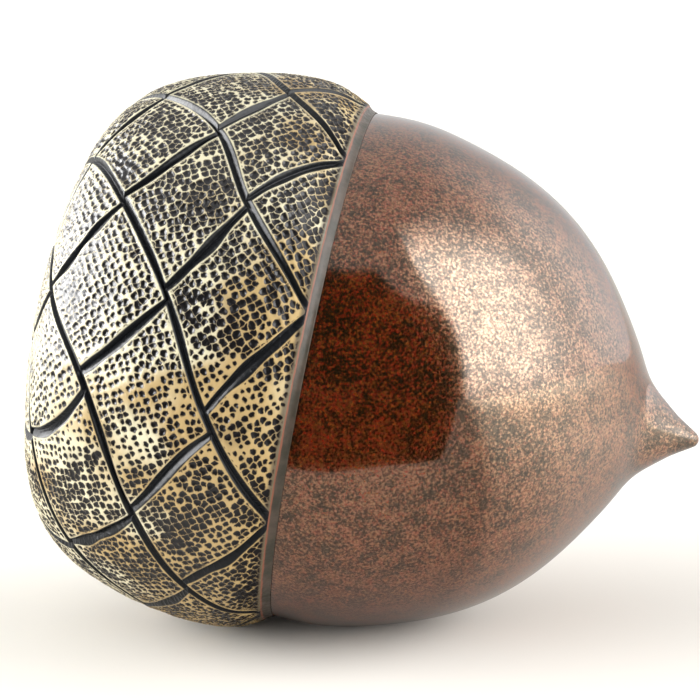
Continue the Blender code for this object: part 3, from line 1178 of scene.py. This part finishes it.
@dataclass(frozen=True)
class PitPricker:
    """Pricks the pits into a carved surface as real hollows."""

    pattern: PitPattern
    depth: float = 0.6
    bowl: tuple[float, float] = (-0.04, 0.2)
    name: str = "prick_pits"

    def tree(self, material: bpy.types.Material) -> bpy.types.NodeTree:
        """Return the geometry tree that sinks the pits along the normals."""
        tree = bpy.data.node_groups.new(self.name, "GeometryNodeTree")
        tree.interface.new_socket("Geometry", in_out="INPUT", socket_type="NodeSocketGeometry")
        tree.interface.new_socket("Depth", in_out="INPUT", socket_type="NodeSocketFloat")
        tree.interface.new_socket("Geometry", in_out="OUTPUT", socket_type="NodeSocketGeometry")
        sketch = NodeSketch(tree)
        given = sketch.node("NodeGroupInput")
        chart = self._attribute(sketch, Attribute.UV, "FLOAT_VECTOR")
        edge = self._attribute(sketch, Attribute.EDGE, "FLOAT")
        rim = self._attribute(sketch, Attribute.RIM, "FLOAT")
        place = sketch.node("GeometryNodeInputPosition").outputs[0]
        inside, shown = self.pattern.draw(sketch, chart, edge, rim, place)
        sink = sketch.product(sketch.spread(inside, *self.bowl), shown, given.outputs["Depth"])
        normal = sketch.node("GeometryNodeInputNormal").outputs[0]
        offset = sketch.vector("SCALE", normal, sketch.math("MULTIPLY", sink, -1.0))
        moved = sketch.node("GeometryNodeSetPosition")
        sketch.feed(moved.inputs["Geometry"], given.outputs["Geometry"])
        sketch.feed(moved.inputs["Offset"], offset)
        real = sketch.node("GeometryNodeRealizeInstances")
        sketch.feed(real.inputs[0], moved.outputs[0])
        painted = sketch.node("GeometryNodeSetMaterial")
        sketch.feed(painted.inputs["Geometry"], real.outputs[0])
        painted.inputs["Material"].default_value = material
        out = sketch.node("NodeGroupOutput")
        sketch.feed(out.inputs[0], painted.outputs[0])
        return tree

    @staticmethod
    def _attribute(sketch: NodeSketch, name: Attribute, kind: str) -> Socket:
        """Return a named attribute's value."""
        made = sketch.node("GeometryNodeInputNamedAttribute", data_type=kind)
        made.inputs["Name"].default_value = name.value
        return made.outputs["Attribute"]

    def prick(self, obj: bpy.types.Object, tree: bpy.types.NodeTree) -> None:
        """Sink the pits into an object and leave it as a plain mesh."""
        modifier = obj.modifiers.new("pits", "NODES")
        modifier.node_group = tree
        depth = next(
            item.identifier
            for item in tree.interface.items_tree
            if item.item_type == "SOCKET" and item.name == "Depth"
        )
        modifier[depth] = self.depth * MM
        graph = bpy.context.evaluated_depsgraph_get()
        plain = bpy.data.meshes.new_from_object(obj.evaluated_get(graph), depsgraph=graph)
        obj.modifiers.remove(modifier)
        before = obj.data
        obj.data = plain
        name = before.name
        bpy.data.meshes.remove(before)
        plain.name = name
        rest_on_ground(plain)


def rest_on_ground(mesh: bpy.types.Mesh) -> None:
    """Press the points below the ground flat onto it."""
    points = np.zeros(len(mesh.vertices) * 3, np.float32)
    mesh.vertices.foreach_get("co", points)
    points = points.reshape(-1, 3)
    points[:, 2] = np.maximum(points[:, 2], 0.0)
    mesh.vertices.foreach_set("co", points.ravel())
    mesh.update()


# Finishes


@dataclass(frozen=True)
class CarvedGlaze:
    """Cream and golden ridges rubbed through a dark glossy glaze that pools in pits and grooves; the
    ridges turn golden partly at random and partly as painted shade towards the rim and the bottom.
    """

    pattern: PitPattern
    cream: tuple = (0.70, 0.65, 0.46, 1.0)
    gold: tuple = (0.47, 0.335, 0.15, 1.0)
    pooled: tuple = (0.009, 0.008, 0.009, 1.0)
    groove: tuple = (0.010, 0.011, 0.013, 1.0)
    rubbed: tuple = (0.15, 0.10, 0.052, 1.0)
    stained: tuple = (0.045, 0.038, 0.026, 1.0)
    edging: tuple = (0.045, 0.048, 0.052, 1.0)
    pool: tuple[float, float] = (0.54, 0.70)
    pit_rim: tuple[float, float] = (-0.10, 0.03)
    pit_edge: tuple[float, float] = (-0.03, 0.08)
    golden: tuple[float, float] = (0.42, 0.62)
    groove_gloss: float = 0.38
    coat_roughness: float = 0.23
    bump_depth: float = 0.3

    def group(self) -> bpy.types.NodeTree:
        """Return the shader group with the glaze's varying colour, gloss and relief."""
        tree = bpy.data.node_groups.new("carved_glaze", "ShaderNodeTree")
        for name, kind in (("Chart", "Vector"), ("Place", "Vector"), ("Edge", "Float"), ("Rim", "Float")):
            tree.interface.new_socket(name, in_out="INPUT", socket_type="NodeSocket" + kind)
        given_out = (("Color", "Color"), ("Gloss", "Float"), ("Roughness", "Float"), ("Relief", "Float"))
        for name, kind in given_out:
            tree.interface.new_socket(name, in_out="OUTPUT", socket_type="NodeSocket" + kind)
        sketch = NodeSketch(tree)
        given = sketch.node("NodeGroupInput")
        chart, place = given.outputs["Chart"], given.outputs["Place"]
        edge, rim = given.outputs["Edge"], given.outputs["Rim"]
        inside, shown = self.pattern.draw(sketch, chart, edge, rim, place)
        ragged = sketch.centred(sketch.noise(chart, 1.6, 2.0, flat=True), 0.1)
        pooling = sketch.noise(place, 90.0, 3.0)
        inside = sketch.total(inside, ragged, sketch.spread(pooling, *self.pool, 0.0, 0.10))
        rubbed = sketch.product(sketch.spread(inside, *self.pit_rim, 0.0, 0.75), shown)
        pit = sketch.product(sketch.spread(inside, *self.pit_edge), shown)
        warmth_and_shade = sketch.noise(place, 34.0, 2.0)
        # Painted shade: the ridges turn golden towards the rim.
        shade_toward_rim = sketch.spread(rim, 75.0, 5.0, -0.16, 0.16)
        height = sketch.dot(place, (0.0, 0.0, 1.0))
        # Painted shade: the ridges turn golden towards the bottom.
        lower = sketch.spread(height, 0.15, 0.06, -0.14, 0.12)
        warmth_and_shade = sketch.total(warmth_and_shade, shade_toward_rim, lower)
        ridge = sketch.blend(sketch.spread(warmth_and_shade, *self.golden), self.cream, self.gold)
        ridge = sketch.blend(sketch.spread(pooling, *self.pool, 0.0, 0.25), ridge, self.stained)
        ridge = sketch.blend(sketch.spread(rim, 2.8, 1.0, 0.0, 0.75), ridge, self.edging)
        colour = sketch.blend(rubbed, ridge, self.rubbed)
        colour = sketch.blend(pit, colour, self.pooled)
        carved = sketch.spread(edge, 0.3, -0.1)
        colour = sketch.blend(carved, colour, self.groove)
        dark = sketch.math("MAXIMUM", pit, carved)
        out = sketch.node("NodeGroupOutput")
        sketch.feed(out.inputs["Color"], colour)
        gloss = sketch.between(carved, sketch.spread(dark, 0.0, 1.0, 0.6, 1.0), self.groove_gloss)
        away_from_rim = sketch.spread(rim, 2.0, 16.0, 0.12, 1.0)
        sketch.feed(out.inputs["Gloss"], sketch.product(gloss, away_from_rim))
        sketch.feed(out.inputs["Roughness"], sketch.spread(dark, 0.0, 1.0, 0.5, 0.3))
        fine = sketch.noise(place, 900.0, 2.0)
        hollow = sketch.spread(inside, -0.06, 0.2)
        relief = sketch.math("SUBTRACT", sketch.product(fine, 0.25), hollow)
        sketch.feed(out.inputs["Relief"], relief)
        return tree

    def material(self) -> bpy.types.Material:
        """Return the finish."""
        material, sketch, shader = fresh_material("carved_cup_glaze")
        used = sketch.node("ShaderNodeGroup")
        used.node_tree = self.group()
        coordinates = sketch.node("ShaderNodeTexCoord")
        chart = sketch.node("ShaderNodeUVMap", uv_map=Attribute.UV.value)
        sketch.feed(used.inputs["Chart"], chart.outputs[0])
        sketch.feed(used.inputs["Place"], coordinates.outputs["Object"])
        sketch.feed(used.inputs["Edge"], float_attribute(sketch, Attribute.EDGE))
        sketch.feed(used.inputs["Rim"], float_attribute(sketch, Attribute.RIM))
        bump = sketch.node("ShaderNodeBump")
        bump.inputs["Strength"].default_value = 0.35
        bump.inputs["Distance"].default_value = self.bump_depth * MM
        sketch.feed(bump.inputs["Height"], used.outputs["Relief"])
        sketch.feed(shader.inputs["Base Color"], used.outputs["Color"])
        sketch.feed(shader.inputs["Coat Weight"], used.outputs["Gloss"])
        sketch.feed(shader.inputs["Roughness"], used.outputs["Roughness"])
        sketch.feed(shader.inputs["Normal"], bump.outputs[0])
        shader.inputs["Specular IOR Level"].default_value = 0.1
        shader.inputs["Coat Roughness"].default_value = self.coat_roughness
        return material


@dataclass(frozen=True)
class RimGlaze:
    """Smooth grey-brown glaze on the sloping rim, broken to copper along its outer corner."""

    clay: tuple = (0.075, 0.054, 0.040, 1.0)
    olive: tuple = (0.038, 0.033, 0.022, 1.0)
    copper: tuple = (0.23, 0.08, 0.045, 1.0)
    copper_line: tuple[float, float] = (1.25, 0.85)
    bump_depth: float = 0.3

    def material(self) -> bpy.types.Material:
        """Return the finish."""
        material, sketch, shader = fresh_material("rim_glaze")
        place = sketch.node("ShaderNodeTexCoord").outputs["Object"]
        rim = float_attribute(sketch, Attribute.RIM)
        cloud = sketch.spread(sketch.noise(place, 160.0, 4.0), 0.35, 0.65)
        colour = sketch.blend(cloud, self.clay, self.olive)
        line = sketch.total(rim, sketch.product(sketch.noise(place, 220.0, 2.0), 0.9))
        colour = sketch.blend(sketch.spread(line, *self.copper_line), colour, self.copper)
        sketch.feed(shader.inputs["Base Color"], colour)
        fine = sketch.noise(place, 700.0, 3.0)
        sketch.feed(shader.inputs["Roughness"], sketch.spread(fine, 0.3, 0.7, 0.3, 0.5))
        bump = sketch.node("ShaderNodeBump")
        bump.inputs["Strength"].default_value = 0.3
        bump.inputs["Distance"].default_value = self.bump_depth * MM
        sketch.feed(bump.inputs["Height"], fine)
        sketch.feed(shader.inputs["Normal"], bump.outputs[0])
        shader.inputs["Specular IOR Level"].default_value = 0.2
        shader.inputs["Coat Weight"].default_value = 0.45
        shader.inputs["Coat Roughness"].default_value = 0.25
        return material


@dataclass(frozen=True)
class SpeckledGlaze:
    """Rust-coloured crystals floating in a dark olive glaze under a clear, glossy surface."""

    dark: tuple = (0.010, 0.0048, 0.0012, 1.0)
    rust: tuple = (0.135, 0.0085, 0.0008, 1.0)
    ochre: tuple = (0.12, 0.030, 0.003, 1.0)
    gleam: tuple = (1.0, 0.71, 0.46, 1.0)
    grain: float = 1.0
    crispness: float = 0.68
    dim: float = 0.26

    def group(self) -> bpy.types.NodeTree:
        """Return the shader group with the speckle's colour and its own gleam."""
        tree = bpy.data.node_groups.new("speckled_glaze", "ShaderNodeTree")
        tree.interface.new_socket("Place", in_out="INPUT", socket_type="NodeSocketVector")
        tree.interface.new_socket("Color", in_out="OUTPUT", socket_type="NodeSocketColor")
        tree.interface.new_socket("Lustre", in_out="OUTPUT", socket_type="NodeSocketFloat")
        sketch = NodeSketch(tree)
        given = sketch.node("NodeGroupInput")
        place = given.outputs["Place"]
        grains = sketch.noise(place, 1.0 / (self.grain * MM), 4.0, roughness=self.crispness)
        clumps = sketch.noise(place, 150.0, 2.0)
        drift = sketch.noise(place, 22.0, 1.0)
        level = sketch.total(grains, sketch.centred(clumps, 0.3), sketch.centred(drift, 0.12))
        speck = sketch.spread(level, 0.40, 0.62)
        tone = sketch.noise(place, 950.0, 2.0)
        rust = sketch.blend(sketch.spread(tone, 0.4, 0.62), self.rust, self.ochre)
        glint = sketch.spread(sketch.noise(place, 1300.0, 1.0), 0.34, 0.66, 0.5, 1.3)
        out = sketch.node("NodeGroupOutput")
        sketch.feed(out.inputs["Color"], sketch.blend(speck, self.dark, rust))
        sketch.feed(out.inputs["Lustre"], sketch.product(sketch.between(speck, self.dim, 1.0), glint))
        return tree

    def material(self) -> bpy.types.Material:
        """Return the finish."""
        material, sketch, shader = fresh_material("speckled_nut_glaze")
        used = sketch.node("ShaderNodeGroup")
        used.node_tree = self.group()
        sketch.feed(used.inputs["Place"], sketch.node("ShaderNodeTexCoord").outputs["Object"])
        sketch.feed(shader.inputs["Base Color"], used.outputs["Color"])
        sketch.feed(shader.inputs["Specular IOR Level"], used.outputs["Lustre"])
        shader.inputs["Specular Tint"].default_value = self.gleam
        shader.inputs["IOR"].default_value = 2.0
        shader.inputs["Roughness"].default_value = 0.15
        shader.inputs["Coat Weight"].default_value = 1.0
        shader.inputs["Coat Roughness"].default_value = 0.04
        return material


def fresh_material(name: str) -> tuple[bpy.types.Material, NodeSketch, bpy.types.Node]:
    """Return a new material, a sketch of its tree and its Principled node."""
    material = bpy.data.materials.new(name)
    material.use_nodes = True
    shader = material.node_tree.nodes["Principled BSDF"]
    return material, NodeSketch(material.node_tree), shader


def float_attribute(sketch: NodeSketch, name: Attribute) -> Socket:
    """Return a mesh attribute as a number."""
    made = sketch.node("ShaderNodeAttribute", attribute_name=name.value)
    return made.outputs["Fac"]


# The studio


def turned_past(sketch: NodeSketch, round_about: Socket, degrees: tuple[float, float]) -> Socket:
    """Return 0 before the first of two directions and 1 after the second."""
    return sketch.spread(round_about, *(math.radians(turn) for turn in degrees))


@dataclass(frozen=True)
class SoftPanel:
    """A bright part of the tent, between two directions and two heights, with soft edges."""

    radiance: float
    from_deg: tuple[float, float]
    to_deg: tuple[float, float]
    from_height: tuple[float, float]
    to_height: tuple[float, float]

    def glow(self, sketch: NodeSketch, round_about: Socket, height: Socket) -> Socket:
        """Return how much this panel adds in a direction."""
        return sketch.product(
            turned_past(sketch, round_about, self.from_deg),
            turned_past(sketch, round_about, self.to_deg),
            sketch.spread(height, *self.from_height),
            sketch.spread(height, *self.to_height),
            self.radiance,
        )


@dataclass
class Studio:
    """A white tent, open and dark towards the viewer, with soft panels left and right."""

    pose: Pose
    focal_px: float = 3350.0
    frame_px: float = 700.0
    mm_per_px: float = 220.0 / 676.0
    subject_px: tuple[float, float] = (-33.1, -12.6)
    axis_in_view: tuple = (
        (0.9774, -0.2001, 0.068),
        (-0.0665, 0.0136, 0.9977),
        (-0.2005, -0.9797, 0.0),
    )
    lattice_offset_deg: float = -13.15
    tent: float = 0.7
    fill: tuple[float, float] = (0.54, 0.76)
    side_fill: float = 6.6
    fill_climb: tuple[float, float] = (0.65, 0.0)
    wings: tuple[float, float] = (0.6, 0.95)
    opening: float = 0.02
    opening_right: tuple[float, float] = (39.5, 36.5)
    opening_left: tuple[float, float] = (-62.0, -50.0)
    opening_lean: tuple[float, float] = (10.0, 36.0)
    opening_tops: tuple[float, float] = (0.70, 0.47)
    opening_softness: float = 0.03
    floor_half: float = 3.0
    floor_drop: float = 0.05
    floor_end: tuple[float, float] = (-0.188, -0.192)
    floor_slant: tuple[float, float, float] = (1.0, 0.9, 0.0)
    floor_slant_end: tuple[float, float] = (-0.05, -0.06)
    floor_pale: tuple = (0.98, 0.95, 0.89, 1.0)
    floor_mirror_shade: tuple = (0.008, 0.008, 0.008, 1.0)
    floor_mirror_shade_share: float = 0.5
    floor_glow: tuple = (1.0, 0.965, 0.87, 1.0)
    floor_glow_from: tuple[float, float] = (36.0, 46.0)
    floor_glow_to: tuple[float, float] = (130.0, 66.0)
    floor_glow_near: tuple = (0.0, 0.30, 0.0, 1.7)
    floor_glow_far: tuple = (0.25, 1.3, 0.0, 2.4)
    panels: tuple[SoftPanel, ...] = (
        SoftPanel(3.5, (37.0, 41.0), (102.0, 60.0), (-0.45, 0.15), (0.92, 0.66)),
        SoftPanel(1.6, (37.0, 41.0), (160.0, 100.0), (-0.45, 0.25), (0.92, 0.66)),
        SoftPanel(15.0, (-140.0, -112.0), (-47.0, -68.0), (-0.38, 0.10), (0.70, 0.44)),
    )

    def __post_init__(self) -> None:
        """Work out how the frame's directions lie in the view."""
        turn = math.radians(self.pose.tilt_deg)
        front = np.array([0.0, -1.0, 0.0])
        down = np.array([-math.sin(turn), 0.0, -math.cos(turn)])
        axis = np.array([math.cos(turn), 0.0, -math.sin(turn)])
        shift = math.radians(self.lattice_offset_deg)
        first = math.cos(shift) * front + math.sin(shift) * down
        second = -math.sin(shift) * front + math.cos(shift) * down
        view = np.array(self.axis_in_view).T
        rotation = view @ np.stack([axis, first, second])
        left, _, right = np.linalg.svd(rotation)
        self.rotation = left @ right

    def camera(self) -> bpy.types.Object:
        """Place the camera where the photograph was taken from."""
        data = bpy.data.cameras.new("camera")
        data.sensor_width = 36.0
        data.lens = 36.0 * self.focal_px / self.frame_px
        data.clip_start = 0.05
        data.clip_end = 20.0
        camera = bpy.data.objects.new("camera", data)
        bpy.context.scene.collection.objects.link(camera)
        away = np.array([self.subject_px[0], self.subject_px[1], -self.focal_px]) * self.mm_per_px
        centre = np.array(self.pose.mouth_centre) - self.rotation.T @ away
        camera.matrix_world = Matrix.Translation(Vector(centre * MM)) @ Matrix(self.rotation.T).to_4x4()
        bpy.context.scene.camera = camera
        return camera

    def floor(self) -> bpy.types.Object:
        """Lay a plain pale floor; reflections see it darker, as painted shade of the open front, and with
        a painted glow at the right.
        """
        mesh = bpy.data.meshes.new("floor")
        half = self.floor_half
        corners = [(-half, -half, 0), (half, -half, 0), (half, half, 0), (-half, half, 0)]
        mesh.from_pydata(corners, [], [(0, 1, 2, 3)])
        floor = bpy.data.objects.new("floor", mesh)
        floor.location.z = -self.floor_drop * MM
        bpy.context.scene.collection.objects.link(floor)
        material, sketch, shader = fresh_material("pale_floor")
        place = sketch.node("ShaderNodeTexCoord").outputs["Object"]
        depth = sketch.dot(place, (0.0, 1.0, 0.0))
        front = sketch.spread(depth, *self.floor_end)
        slant = sketch.dot(place, self.floor_slant)
        mirrored = sketch.node("ShaderNodeLightPath").outputs["Is Glossy Ray"]
        # Painted shade: reflections see the floor darker, most of all towards the front.
        share = sketch.product(front, sketch.spread(slant, *self.floor_slant_end), mirrored)
        share = sketch.math("MAXIMUM", share, sketch.product(mirrored, self.floor_mirror_shade_share))
        sketch.feed(shader.inputs["Base Color"], sketch.blend(share, self.floor_pale, self.floor_mirror_shade))
        side = sketch.dot(place, tuple(self.rotation[0]))
        toward = sketch.dot(place, tuple(self.rotation[2]))
        round_about = sketch.math("ARCTAN2", side, toward)
        near = sketch.spread(side, *self.floor_glow_near)
        far = sketch.spread(side, *self.floor_glow_far)
        # Painted glow: reflections see the floor glowing at the right, though it is no lamp.
        painted_glow = sketch.product(
            sketch.total(near, far),
            turned_past(sketch, round_about, self.floor_glow_from),
            turned_past(sketch, round_about, self.floor_glow_to),
            mirrored,
        )
        sketch.feed(shader.inputs["Emission Strength"], painted_glow)
        shader.inputs["Emission Color"].default_value = self.floor_glow
        shader.inputs["Roughness"].default_value = 0.9
        shader.inputs["Specular IOR Level"].default_value = 0.0
        mesh.materials.append(material)
        return floor

    def world(self) -> None:
        """Surround the acorn with the tent."""
        world = bpy.data.worlds.new("tent")
        world.use_nodes = True
        bpy.context.scene.world = world
        tree = world.node_tree
        tree.nodes.clear()
        sketch = NodeSketch(tree)
        direction = sketch.node("ShaderNodeTexCoord").outputs["Generated"]
        side = sketch.dot(direction, tuple(self.rotation[0]))
        height = sketch.dot(direction, tuple(self.rotation[1]))
        toward = sketch.dot(direction, tuple(self.rotation[2]))
        round_about = sketch.math("ARCTAN2", side, toward)
        opening = self._opening(sketch, round_about, height)
        mirrored = sketch.between(opening, self.tent, self.opening)
        for panel in self.panels:
            mirrored = sketch.math("ADD", mirrored, panel.glow(sketch, round_about, height))
        path = sketch.node("ShaderNodeLightPath")
        climb = sketch.dot(direction, (0.0, 0.0, 1.0))
        sideways = sketch.math("ABSOLUTE", side)
        soft = sketch.total(
            sketch.spread(climb, *self.fill_climb, *self.fill),
            sketch.spread(sideways, *self.wings, 0.0, self.side_fill),
        )
        level = sketch.between(path.outputs["Is Glossy Ray"], soft, mirrored)
        level = sketch.between(path.outputs["Is Camera Ray"], level, 1.0)
        background = sketch.node("ShaderNodeBackground")
        background.inputs["Color"].default_value = (1.0, 1.0, 1.0, 1.0)
        sketch.feed(background.inputs["Strength"], level)
        out = sketch.node("ShaderNodeOutputWorld")
        sketch.feed(out.inputs["Surface"], background.outputs[0])

    def _opening(self, sketch: NodeSketch, round_about: Socket, height: Socket) -> Socket:
        """Return where the tent is open: an arch towards the viewer, lower at its right."""
        begin, end = (math.radians(turn) for turn in self.opening_lean)
        lean = sketch.spread(round_about, begin, end, *self.opening_tops)
        above = sketch.math("ADD", lean, self.opening_softness)
        below = sketch.math("SUBTRACT", lean, self.opening_softness)
        return sketch.product(
            turned_past(sketch, round_about, self.opening_left),
            turned_past(sketch, round_about, self.opening_right),
            sketch.spread(height, above, below),
        )

    def build(self) -> None:
        """Set up the whole studio."""
        self.camera()
        self.floor()
        self.world()
        scene = bpy.context.scene
        scene.view_settings.view_transform = "Standard"
        scene.view_settings.look = "None"


# The whole acorn


@dataclass(frozen=True)
class Outlines:
    """The turned outlines of both pieces, from the mouth of the cup."""

    cup: tuple = (
        (0.6, 85.5), (-2.8, 87.4), (-7.2, 89.5), (-18.0, 90.9), (-31.0, 90.2), (-46.0, 87.2),
        (-60.2, 82.0), (-71.8, 74.3), (-80.2, 63.6), (-85.6, 48.5), (-89.9, 26.0), (-92.0, 0.0),
    )
    nut: tuple = (
        (-79.0, 0.0), (-75.0, 24.0), (-62.0, 50.5), (-42.0, 69.5), (-20.0, 79.8), (0.0, 82.9),
        (19.5, 83.1), (36.0, 79.6), (53.7, 73.4), (70.0, 64.2), (84.6, 50.8), (96.0, 35.4),
        (103.2, 23.4), (107.6, 16.0), (112.4, 11.3), (118.8, 6.1),
    )


def attach(obj: bpy.types.Object, node: str) -> None:
    """Let a finished piece stand for a node of the frame."""
    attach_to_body(obj, "root")
    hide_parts(node)
    LOG.info("%s: %d faces, for %s", obj.name, len(obj.data.polygons), node)


def main() -> None:
    """Build the acorn and its studio in order."""
    logging.basicConfig(level=logging.INFO, format="%(name)s: %(message)s")
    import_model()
    pose = Pose()
    outlines = Outlines()
    cup_outline = Outline(outlines.cup, closes_at="end")
    nut_outline = Outline(outlines.nut, closes_at="start")

    pattern = PitPattern()
    glaze = CarvedGlaze(pattern).material()
    pricker = PitPricker(pattern)
    tree = pricker.tree(glaze)
    cup = CarvedCup(pose, cup_outline, nut_outline, GrooveLattice(cup_outline))
    for zone in Zone:
        piece = cup.zone_mesh(zone)
        piece.data.materials.append(glaze)
        pricker.prick(piece, tree)
        attach(piece, "cup")

    rim = cup.rim()
    rim.data.materials.append(RimGlaze().material())
    rest_on_ground(rim.data)
    attach(rim, "cup")

    nut = TurnedNut(pose, nut_outline).build()
    nut.data.materials.append(SpeckledGlaze().material())
    attach(nut, "nut")

    Studio(pose).build()


if __name__ == "__main__":
    main()
